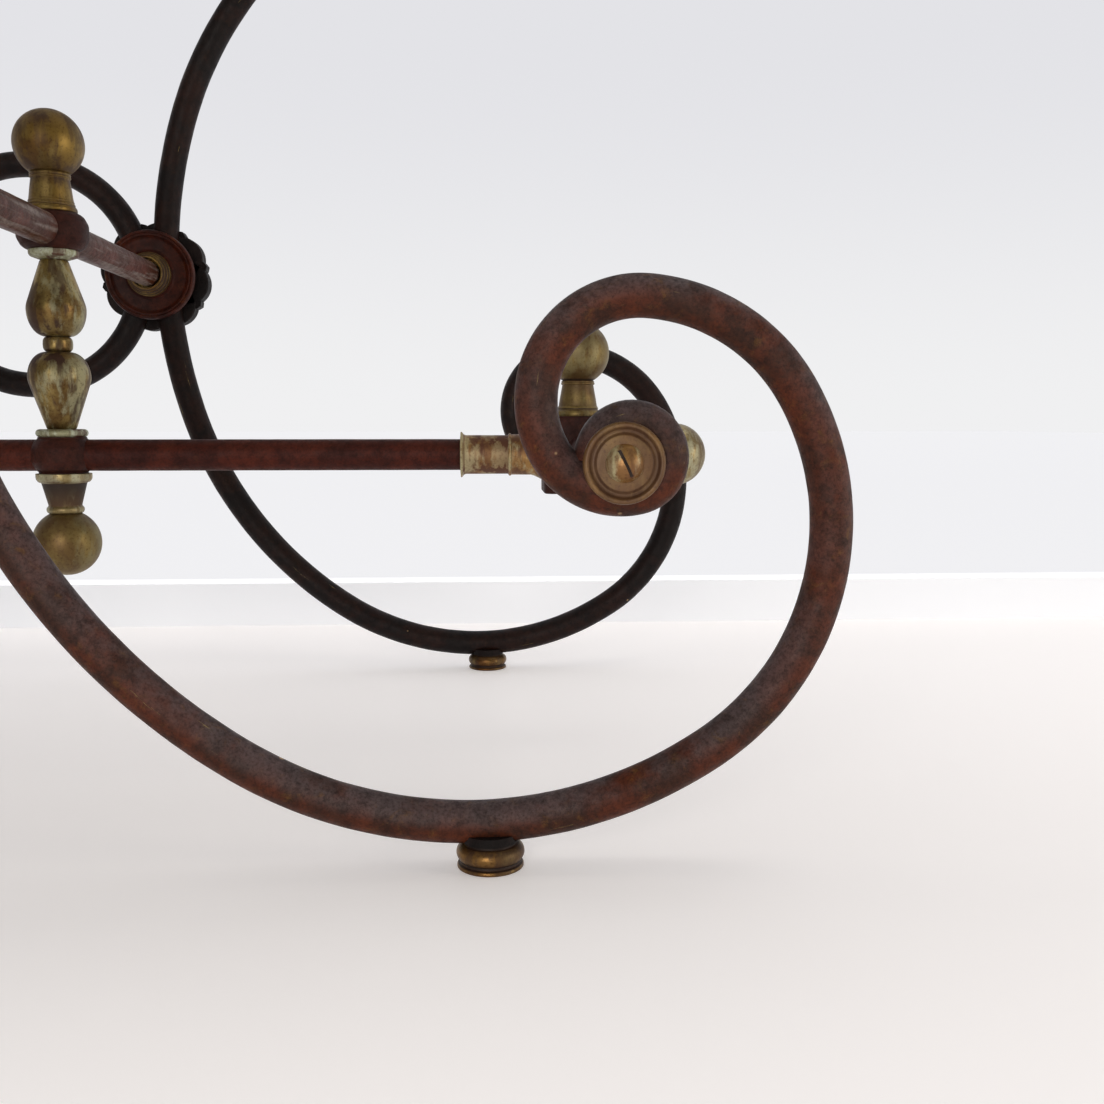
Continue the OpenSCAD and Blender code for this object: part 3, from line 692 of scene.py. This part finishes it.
def stretcher():
    """One long bar. It swells a little on the last stretch before each sleeve."""
    reach = HUB_X - extent("end_hub_right").x / 2
    sleeve = reach - SLEEVE_LENGTH
    points = straight((-reach, 0, STRETCHER_Z), (reach, 0, STRETCHER_Z), 3 * MM)
    swell, swell_length = 0.16, 9 * MM
    girths = [1 + swell * max(0.0, min(1.0, 1 - (sleeve - abs(x)) / swell_length)) for x, y, z in points]
    bar = forged_bar("stretcher_bar", points, OXIDE_IRON, girths, seed=21, hammer=0.3 * MM)
    finish_piece(bar, OXIDE_IRON, "iron", "stretcher")


stretcher()
for side in SIDES:
    upper_crossbar(side)
    lower_crossbar(side)


# ------------------------------------------------------------------------------ discs and rosettes
def dished_disc(face, side):
    """Iron disc on the inner flank of a leg, with a rolled rim and a raised middle."""
    outline = [(0, 0), (42.5, 0), (42.5, 4.2), (41.8, 6.2), (40.4, 6.9), (39.4, 6.3), (39, 5.7), (38.2, 6.3),
               (37, 6.1), (35.8, 4.4), (34, 3.4), (24, 3), (22.2, 4.4), (21.5, 6), (0, 6)]
    disc = turned(f"dished_disc_{face}_{side}", outline,
                  (SIDES[side] * SPINDLE_X, FACES[face] * INNER_Y, ROSETTE_Z), (0, -FACES[face], 0), 128)
    finish_piece(disc, DISC_IRON, "iron", f"disc_{face}_{side}")


def petal(size):
    """One round petal with ribs and the pointed leaf beside it. The XY plane is the outer flank.

    The petal is a low dome on a straight rim. Its ribs are rings around its own middle.
    """
    radius, reach, tip = 0.196 * size, 0.288 * size, 0.478 * size
    back = -BAR_R / MM
    rim, rise, rib_height, rib_count = 3.6, 4.2, 0.55, 3.5
    shape = bmesh.new()
    rings = [[shape.verts.new((reach * MM, 0, (rim + rise) * MM))]]
    steps, around = 14, 48
    for i in range(1, steps + 1):
        share = i / steps
        dome = rim + rise * math.sqrt(max(0.0, 1 - share ** 2.4))
        rib = rib_height * math.cos(share * rib_count * 2 * math.pi) * (1 - share ** 6)
        rings.append([shape.verts.new(((reach + radius * share * math.cos(a)) * MM,
                                       radius * share * math.sin(a) * MM, (dome + rib) * MM))
                      for a in [2 * math.pi * k / around for k in range(around)]])
    rings.append([shape.verts.new((v.co.x, v.co.y, (back + 1.2) * MM)) for v in rings[-1]])
    rings.append([shape.verts.new(((v.co.x - reach * MM) * 0.95 + reach * MM, v.co.y * 0.95, back * MM))
                  for v in rings[-1]])
    rings.append([shape.verts.new((reach * MM, 0, back * MM))])
    turn = Matrix.Rotation(math.pi / PETALS, 4, "Z")
    edge = [(38, -7.5), (46, -5.8), (49.6, -4.2), (tip, 0), (49.6, 4.2), (46, 5.8), (38, 7.5)]
    heights = (5.4, 4.6, 4.0, 2.4, 4.0, 4.6, 5.4)
    leaf = [[shape.verts.new(turn @ Vector((42 * MM, 0, (back + 0.8) * MM)))],
            [shape.verts.new(turn @ Vector((x * MM, y * MM, (back + 0.8) * MM))) for x, y in edge],
            [shape.verts.new(turn @ Vector((x * MM, y * MM, 2.2 * MM))) for x, y in edge],
            [shape.verts.new(turn @ Vector((x * MM, y * 0.2 * MM, z * MM)))
             for (x, y), z in zip(edge, heights)],
            [shape.verts.new(turn @ Vector((42 * MM, 0, 5 * MM)))]]
    join_rings(shape, rings)
    join_rings(shape, leaf)
    return from_shape("petal", shape, 40)


def cast_rosette(face, side):
    """Black rosette on the outer flank of a leg: eight lobes, leaves between them and a stepped boss.

    It is made for the front right leg, and mirrored for the others.
    """
    spin = math.radians(12) + math.pi / PETALS
    size = extent(f"rosette_{face}_{side}").z / MM
    places = [((0, 0, 0), (0, 0, spin + 2 * math.pi * i / PETALS)) for i in range(PETALS)]
    petals = set_out("petals", petal(size), places, CAST_IRON)
    boss = turned("boss", [(0, 0), (34, 0), (34, 4.5), (28, 6), (20, 6.4), (18.6, 8.6), (17, 9.5),
                           (13.4, 9.7), (12.4, 11.4), (9, 13.6), (0, 14)])
    flower = joined(f"cast_rosette_{face}_{side}", [petals, boss])
    quarter = Matrix.Rotation(math.radians(90), 4, "X")
    if FACES[face] > 0:
        quarter = Matrix.Scale(-1, 4, (0, 1, 0)) @ quarter
    if SIDES[side] < 0:
        quarter = Matrix.Scale(-1, 4, (1, 0, 0)) @ quarter
    where = Matrix.Translation((SIDES[side] * SPINDLE_X, FACES[face] * OUTER_Y, ROSETTE_Z))
    flower.data.transform(where @ quarter)
    if SIDES[side] * FACES[face] > 0:
        flower.data.flip_normals()
    # The rosette wears the near-black iron: partly its dark finish, partly painted shade.
    finish_piece(flower, CAST_IRON, "dark_iron", f"rosette_{face}_{side}")


def bar_collars():
    """Stepped collars around the upper cross bars. A narrow gap stays open round the bar."""
    outline = [(0, 0), (21, 0), (21, 1.6), (20.3, 2.8), (19.4, 3.2), (19.2, 4.4), (19.6, 5), (19, 6.2),
               (17.9, 6.8), (17.6, 8), (17.9, 8.6), (17.2, 9.8), (16.2, 10.3), (16, 11.4), (16.2, 12),
               (15.4, 13), (14.2, 13), (13.8, 12.2), (13.8, 4), (0, 4)]
    collar = turned("collar", outline, wear=0.3)
    quarter = math.pi / 2
    places = [((sx * SPINDLE_X, fy * (INNER_Y - 6 * MM), ROSETTE_Z), (fy * quarter, 0, 0))
              for sx in SIDES.values() for fy in FACES.values()]
    collars = set_out("cross_bar_collars", collar, places, GOLD_BRASS)
    finish_piece(collars, GOLD_BRASS, "aged_brass", "bar_collars")


bar_collars()
for face in FACES:
    for side in SIDES:
        dished_disc(face, side)
        cast_rosette(face, side)


# ---------------------------------------------------------------------------------- the spindles
def hub_outline(node):
    """Outline of a barrel-shaped hub around its middle."""
    half = extent(node).z / 2 / MM
    r = extent(node).x / 2 / MM
    belly = [(r - 5.3, half - 1.0), (r - 2.9, half - 3.0), (r - 1.0, half - 6.6), (r - 0.1, 5)]
    return ([(0, -half), (17.8, -half)] + [(x, -z) for x, z in belly] + [(r, 0)] + belly[::-1]
            + [(17.8, half), (0, half)])


def spindle_piece(node, outline, name, finish, slot="aged_brass", below=False, **more):
    """A turned piece of a spindle. Its heights count from the node's top or bottom face."""
    low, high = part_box(node)
    foot = (middle(node).x, 0, high.z if below else low.z)
    finish_piece(turned(name, outline, foot, **more), finish, slot, node)


def spindle(side):
    """The turned pieces that stand on one another between the two balls."""
    for hub in ("upper_hub", "lower_hub"):
        node = f"{hub}_{side}"
        piece = turned(f"{hub}_{side}_barrel", hub_outline(node), middle(node), wear=0.8)
        finish_piece(piece, HUB_IRON, "iron", node)
    ball_r = extent(f"top_ball_{side}").x / 2 / MM
    spindle_piece(f"top_ball_{side}", ball(ball_r, 13.8), f"spindle_top_ball_{side}", GOLD_BRASS, wear=0)
    top_neck = [(0, 0), (18, 0), (18.2, 2), (17.6, 3.8), (16.6, 4.6), (16.9, 5.6), (16.4, 6.6), (16, 7),
                (16.3, 7.8), (15.7, 8.8), (15.3, 12), (14.7, 17), (13.8, 23.2), (13.6, 24.2), (14.4, 24.9),
                (14.6, 25.7), (14, 26.3), (14.5, 26.9), (14.4, 27.9), (13.8, 28.6), (0, 28.6)]
    spindle_piece(f"top_neck_{side}", top_neck, f"spindle_top_neck_{side}", GOLD_BRASS)
    height = extent(f"upper_vase_{side}").z / MM
    upper_r = extent(f"upper_vase_{side}").x / 2 / MM
    belly = 0.36 * height
    upper_vase = ([(0, 0)] + shoulder(upper_r, belly, 8.5, 0)[::-1]
                  + [(upper_r - 0.2, belly + 2), (upper_r - 0.9, belly + 5), (10.3, height - 1.2),
                     (9.4, height), (0, height)])
    spindle_piece(f"upper_vase_{side}", upper_vase, f"spindle_upper_vase_{side}", KHAKI_BRASS)
    height = extent(f"bead_{side}").z / MM
    bead = [(0, 0), (7.4, 0), (9.2, 0.5), (10.5, 2.6), (10.7, height / 2), (10.5, height - 2.6),
            (9.2, height - 0.5), (7.4, height), (0, height)]
    spindle_piece(f"bead_{side}", bead, f"spindle_bead_{side}", KHAKI_BRASS, wear=1.0)
    height = extent(f"lower_vase_{side}").z / MM
    lower_r = extent(f"lower_vase_{side}").x / 2 / MM
    belly = height - 19
    lower_vase = ([(0, 0), (10.2, 0), (10.9, 1.2), (lower_r - 0.9, belly - 5), (lower_r - 0.2, belly - 2)]
                  + shoulder(lower_r, belly, 8.8, height) + [(0, height)])
    spindle_piece(f"lower_vase_{side}", lower_vase, f"spindle_lower_vase_{side}", KHAKI_BRASS)
    bottom_neck = [(0, -30.7), (11.5, -30.7), (13, -29.8), (13.7, -28), (13.4, -26.2), (12.3, -25),
                   (12, -24.4), (16.2, -7.8), (16.6, -7), (18.4, -6.6), (19.9, -4.6), (20.2, -3), (20.2, 0),
                   (0, 0)]
    spindle_piece(f"bottom_neck_{side}", bottom_neck, f"spindle_bottom_neck_{side}", PALE_BRASS, below=True)
    hanging = [(r, -z) for r, z in ball(ball_r, 11.5)][::-1]
    spindle_piece(f"bottom_ball_{side}", hanging, f"spindle_bottom_ball_{side}", BALL_BRASS, below=True,
                  wear=0)


def hub_washers():
    """Chamfered washer under each upper hub and round-edged flange on each lower hub."""
    washer = [(0, -7), (9.5, -7), (11, -6.6), (16.6, -4.6), (17.6, -3.2), (17.8, -1.6), (17.7, 0), (0, 0)]
    flange = [(0, 0), (17.6, 0)] + arc(15.8, 3, 3, -75, 90, 8) + [(11.4, 6), (11, 5.6), (0, 5.6)]
    under_upper = middle("upper_hub_right").z - extent("upper_hub_right").z / 2
    on_lower = middle("lower_hub_right").z + extent("lower_hub_right").z / 2
    pieces = []
    for side in SIDES.values():
        pieces.append(turned("washer", washer, (side * SPINDLE_X, 0, under_upper)))
        pieces.append(turned("flange", flange, (side * SPINDLE_X, 0, on_lower)))
    finish_piece(joined("spindle_washers", pieces), BRASS_WASHER, "aged_brass", "hub_washers")


hub_washers()
for side in SIDES:
    spindle(side)


# ---------------------------------------------------------------------- ends of the long stretcher
def end_hub(side):
    """Iron block with rounded upright edges that the stretcher and the lower cross bar meet in."""
    size = extent(f"end_hub_{side}")
    shape = bmesh.new()
    bmesh.ops.create_cube(shape, size=1.0, matrix=Matrix.Translation(middle(f"end_hub_{side}"))
                          @ Matrix.Diagonal((*size, 1)))
    upright = [e for e in shape.edges if abs(e.verts[0].co.z - e.verts[1].co.z) > size.z / 2]
    bmesh.ops.bevel(shape, geom=upright, offset=7 * MM, segments=5, affect="EDGES", profile=0.5)
    rim = [e for e in shape.edges if abs(e.verts[0].co.z - e.verts[1].co.z) < 1e-6]
    bmesh.ops.bevel(shape, geom=rim, offset=1.6 * MM, segments=3, affect="EDGES", profile=0.5)
    finish_piece(from_shape(f"end_hub_block_{side}", shape), HUB_IRON, "iron", f"end_hub_{side}")


def finials(side):
    """A ball on a neck on top of the hub, and another on its outer side."""
    neck = [(0, 0), (17.6, 0), (17.7, 2.2), (17.2, 3.8), (16.2, 4.8), (15.6, 5.4), (15.9, 6.4), (15.4, 7.4),
            (14.9, 8.2), (14, 14), (12.2, 23.6), (12.1, 24.2), (13, 24.8), (13.1, 25.6), (12.6, 26.2),
            (12.9, 26.7), (12.4, 27.4)]
    neck_height, neck_r = 27.6, 11.6
    ball_r = extent(f"upright_finial_{side}").x / 2 / MM
    outline = neck + [(x, z + neck_height) for x, z in ball(ball_r, neck_r)[1:]]
    hub = middle(f"end_hub_{side}")
    size = extent(f"end_hub_{side}")
    top = turned(f"upright_finial_piece_{side}", outline, hub + Vector((0, 0, size.z / 2)), wear=0.25)
    finish_piece(top, BALL_BRASS, "aged_brass", f"upright_finial_{side}")
    end = turned(f"end_finial_piece_{side}", outline, hub + Vector((SIDES[side] * size.x / 2, 0, 0)),
                 (SIDES[side], 0, 0), wear=0.25)
    finish_piece(end, PALE_BRASS, "aged_brass", f"end_finial_{side}")


def sleeve(side):
    """Sleeve over the end of the stretcher. Lengths run from the end hub towards the middle."""
    end = SLEEVE_LENGTH / MM
    outline = [(0, 0), (19, 0), (19, 1.8), (18, 3.4), (16.4, 7), (15.8, 9), (15.7, 24.4), (16.5, 25),
               (16.6, 26.2), (15.5, 26.8), (15, 27.4), (15.1, end - 4.2), (15.7, end - 2.6),
               (17.6, end - 1.2), (17.7, end - 0.2), (12.8, end + 0.2), (0, end + 0.2)]
    foot = middle(f"end_hub_{side}") - Vector((SIDES[side] * extent(f"end_hub_{side}").x / 2, 0, 0))
    piece = turned(f"stretcher_sleeve_{side}", outline, foot, (-SIDES[side], 0, 0), wear=0.3)
    finish_piece(piece, SALMON_BRASS, "aged_brass", f"stretcher_collar_{side}")


for side in SIDES:
    end_hub(side)
    finials(side)
    sleeve(side)


# ----------------------------------------------------------------------------- eyes of the scrolls
def at_eyes():
    """Places on the outer sides of the four eyes, with the turns that face outwards."""
    quarter = math.pi / 2
    return [((sx * EYE_X, fy * OUTER_Y, EYE_Z), (-fy * quarter, 0, 0))
            for sx in SIDES.values() for fy in FACES.values()]


def eye_discs():
    """Turned brass disc in each eye: a round rim, a groove and a flat field."""
    outline = [(0, 0), (22.3, 0), (22.5, 1), (22.5, 4.4), (21.9, 5.6), (20.8, 6.1), (19.7, 5.8),
               (18.7, 4.6), (18, 4.1), (16.8, 4.1), (16, 4.6), (15.2, 5.3), (13, 5.5), (0, 5.4)]
    discs = set_out("scroll_eye_discs", turned("disc", outline, sides=112), at_eyes(), DISC_BRASS)
    finish_piece(discs, DISC_BRASS, "aged_brass", "eye_discs")


def dome_screw():
    """Domed screw head with a straight slot whose floor is painted with near-black shade."""
    outline = [(0, 5), (10.4, 5), (10.6, 5.3)] + arc(0, -0.178, 11.978, 28.5, 90, 14)[:-1] + [(0, 11.8)]
    head = turned("head", outline, sides=80, wear=0)
    turn = math.radians(64)
    slot_width, slot_floor, slot_top = 1.7 * MM, 8.9 * MM, 15.9 * MM
    slot_place = Matrix.Translation((0, 0, (slot_floor + slot_top) / 2))
    slot_size = Matrix.Diagonal((30 * MM, slot_width, slot_top - slot_floor, 1))
    shape = bmesh.new()
    bmesh.ops.create_cube(shape, size=1.0, matrix=Matrix.Rotation(-turn, 4, "Z") @ slot_place @ slot_size)
    slot = from_shape("slot", shape)
    cut = head.modifiers.new("slot", "BOOLEAN")
    cut.object = slot
    cut.operation = "DIFFERENCE"
    cut.solver = "EXACT"
    screw = settled("screw", head)
    drop(slot)
    # Painted shade: the slot's floor is marked as deepest groove, and the finish paints that near-black.
    painted_groove_shade = screw.data.attributes["groove"].data
    across = Vector((math.sin(turn), math.cos(turn)))
    for vertex in screw.data.vertices:
        on_floor = abs(vertex.co.z - slot_floor) < 0.2 * MM
        in_slot = abs(vertex.co.xy.dot(across)) < slot_width / 2 + 0.05 * MM
        painted_groove_shade[vertex.index].value = 1.0 if on_floor and in_slot else 0.0
    smooth(screw.data, 35)
    return screw


def eye_screws():
    """The screw that holds each disc."""
    screws = set_out("scroll_eye_screws", dome_screw(), at_eyes(), SALMON_BRASS)
    finish_piece(screws, SALMON_BRASS, "aged_brass", "eye_screws")


eye_discs()
eye_screws()


# ------------------------------------------------------------------------------------------- feet
def feet():
    """Brass buns with a fine rim at the floor."""
    r = (extent("feet").y - 2 * FRAME_Y) / 2 / MM
    outline = ([(0, 0), (r - 1.4, 0), (r - 0.5, 0.5), (r - 0.4, 1.6), (r - 0.8, 2.5), (r - 2.2, 3.1),
                (r - 2.2, 3.6)] + arc(r - 5.3, 8.9, 5.3, -60, 66, 12)
               + [(r - 4.4, 14), (r - 5, 15.5), (0, 15.5)])
    bun = turned("bun", outline, wear=0.3)
    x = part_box("feet")[1].x - r * MM
    turn = 0.7
    places = [((sx * x, fy * FRAME_Y, 0), (0, 0, sx * fy * turn))
              for sx in SIDES.values() for fy in FACES.values()]
    finish_piece(set_out("bun_feet", bun, places, FOOT_BRASS), FOOT_BRASS, "aged_brass", "feet")


feet()


# --------------------------------------------------------------------------------- top of the table
def eased_box(low, high, ease, segments=3):
    """A block with all its edges rounded."""
    shape = bmesh.new()
    size = Vector(high) - Vector(low)
    bmesh.ops.create_cube(shape, size=1.0, matrix=Matrix.Translation((Vector(low) + Vector(high)) / 2)
                          @ Matrix.Diagonal((*size, 1)))
    bmesh.ops.bevel(shape, geom=shape.edges[:], offset=ease, segments=segments, affect="EDGES", profile=0.5)
    return from_shape("block", shape)


def marble_slab():
    """The loose slab, with its edges eased by hand."""
    low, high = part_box("marble_slab")
    slab = eased_box(low, high, 3.5 * MM, 5)
    slab.name = "marble_top"
    finish_piece(slab, MARBLE, "marble", "marble_slab", body="slab")


def top_rails():
    """Angle irons with rolled edges: a level leg under the slab and a leg that hangs outside."""
    thick, ease = 5 * MM, 0.9 * MM
    for name, out in {**FACES, **SIDES}.items():
        low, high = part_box(f"top_rail_{name}")
        across = 1 if name in FACES else 0
        level_low, level_high = Vector(low), Vector(high)
        level_low.z = high.z - thick
        hang_low, hang_high = Vector(low), Vector(high)
        if out > 0:
            hang_low[across] = high[across] - thick
        else:
            hang_high[across] = low[across] + thick
        rail = joined(f"angle_iron_{name}", [eased_box(level_low, level_high, ease),
                                             eased_box(hang_low, hang_high, ease)])
        finish_piece(rail, CAST_IRON, "dark_iron", f"top_rail_{name}")


marble_slab()
top_rails()


# ------------------------------------------------------- parts of the frame that show as they are
for node, finish in {"foot_pads": CAST_IRON, "top_saddles": CAST_IRON, "top_screws": STEEL,
                     "spindle_rod_right": STEEL, "spindle_rod_left": STEEL}.items():
    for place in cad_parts[node].material_slots:
        place.material = finish


# ---------------------------------------------------------------------------- floor, light, camera
def stage_piece(name, piece, colour, glow):
    """Makes a pale matt piece of the room. It glows a little: painted light that stands in for the light a
    floor in a bright room gives back, brighter towards the wall.
    """
    made, tree, surface = material(name)
    where = add(tree, "ShaderNodeTexCoord").outputs["Object"]
    depth = add(tree, "ShaderNodeSeparateXYZ", {"Vector": where}).outputs["Y"]
    low, high = glow
    painted_glow_strength = add(tree, "ShaderNodeMapRange", {"Value": depth, "From Min": -0.6, "From Max": 0.5, "To Min": low,
                                             "To Max": high}, interpolation_type="SMOOTHSTEP")
    surface.inputs["Base Color"].default_value = linear(colour)
    surface.inputs["Emission Color"].default_value = linear(colour)
    surface.inputs["Roughness"].default_value = 0.6
    surface.inputs["Specular IOR Level"].default_value = 0.3
    tree.links.new(painted_glow_strength.outputs["Result"], surface.inputs["Emission Strength"])
    piece.data.materials.append(made)


def floor():
    """Pale floor, and a low skirting board with a bead on it where the wall would stand. All glow with
    painted light: the floor more towards the wall, the dim plane behind the board brightly, and the bead
    as a painted highlight along the board's top edge.
    """
    half, wall_y = 15.0, 0.53
    # The floor glows more towards the wall, and the dim plane behind the board glows brightly: painted light.
    for name, y, colour, glow in (("pale painted floor", wall_y - half, "#ebe8e7", (0.33, 0.38)),
                                  ("floor behind the board", wall_y + half, "#606061", (6.2, 6.2))):
        shape = bmesh.new()
        bmesh.ops.create_grid(shape, x_segments=1, y_segments=1, size=half,
                              matrix=Matrix.Translation((0, y, 0)))
        stage_piece(name, from_shape(name, shape), colour, glow)
    # The bead is paler and glows more than the board: a painted highlight along the board's top edge.
    for name, low, high, colour, glow in (("painted skirting board", -0.02, 0.053, "#e0e2e6", 0.31),
                                          ("bead of the skirting board", 0.0531, 0.057, "#f0f0f2", 0.5)):
        board = eased_box((-3.0, wall_y, low), (3.0, wall_y + 0.015, high), 1 * MM)
        board.name = name
        stage_piece(name, board, colour, (glow, glow))


def soft_light(name, place, aim, size, power, colour):
    """A window-sized light that faces its aim."""
    lamp = bpy.data.lights.new(name, "AREA")
    lamp.shape = "RECTANGLE"
    lamp.size, lamp.size_y = size
    lamp.energy = power
    lamp.color = linear(colour)[:3]
    holder = new_piece(name, lamp)
    holder.location = place
    holder.rotation_euler = (Vector(aim) - Vector(place)).to_track_quat("-Z", "Y").to_euler()


def room(wall, skirt, dim):
    """Light from all round: a pale wall beyond the table, and a dim room on the viewer's side."""
    world = bpy.data.worlds.new("room light")
    world.use_nodes = True
    tree = world.node_tree
    aim = add(tree, "ShaderNodeTexCoord").outputs["Generated"]
    split = add(tree, "ShaderNodeSeparateXYZ", {"Vector": aim})
    above = add(tree, "ShaderNodeMapRange", {"Value": split.outputs["Z"], "From Min": 0.0, "From Max": 0.3},
                interpolation_type="SMOOTHSTEP")
    beyond = add(tree, "ShaderNodeMapRange",
                 {"Value": split.outputs["Y"], "From Min": -0.35, "From Max": 0.35},
                 interpolation_type="SMOOTHSTEP")
    tone = coated(tree, skirt, (above.outputs["Result"], wall))
    tone = coated(tree, dim, (beyond.outputs["Result"], tone))
    tree.links.new(tone, tree.nodes["Background"].inputs["Color"])
    bpy.context.scene.world = world


def camera():
    """A hand-held view of the lower right part, level with the eyes of the scrolls."""
    lens = bpy.data.cameras.new("camera")
    lens.lens = 37.58
    lens.sensor_width = 36
    lens.clip_start = 0.02
    view = new_piece("camera", lens)
    view.location = (0.4385, -0.9035, 0.2516)
    looks_down, turned_right = 6.43, 3.35
    view.rotation_euler = (math.radians(90 - looks_down), 0, math.radians(-turned_right))
    bpy.context.scene.camera = view


floor()
room("#e3e3e7", "#f0f0f1", "#74706c")
soft_light("left window", (-0.2, -2.9, 0.75), (0.2, 0, 0.3), (1.1, 1.5), 34, "#fffaf4")
soft_light("right window", (3.0, -1.1, 0.6), (0.2, 0, 0.25), (0.8, 1.5), 22, "#fff8ee")
soft_light("ceiling", (0.4, 0.0, 2.6), (0.4, 0.05, 0), (3.2, 0.6), 18, "#fffcf8")
camera()
bpy.context.scene.view_settings.view_transform = "Standard"
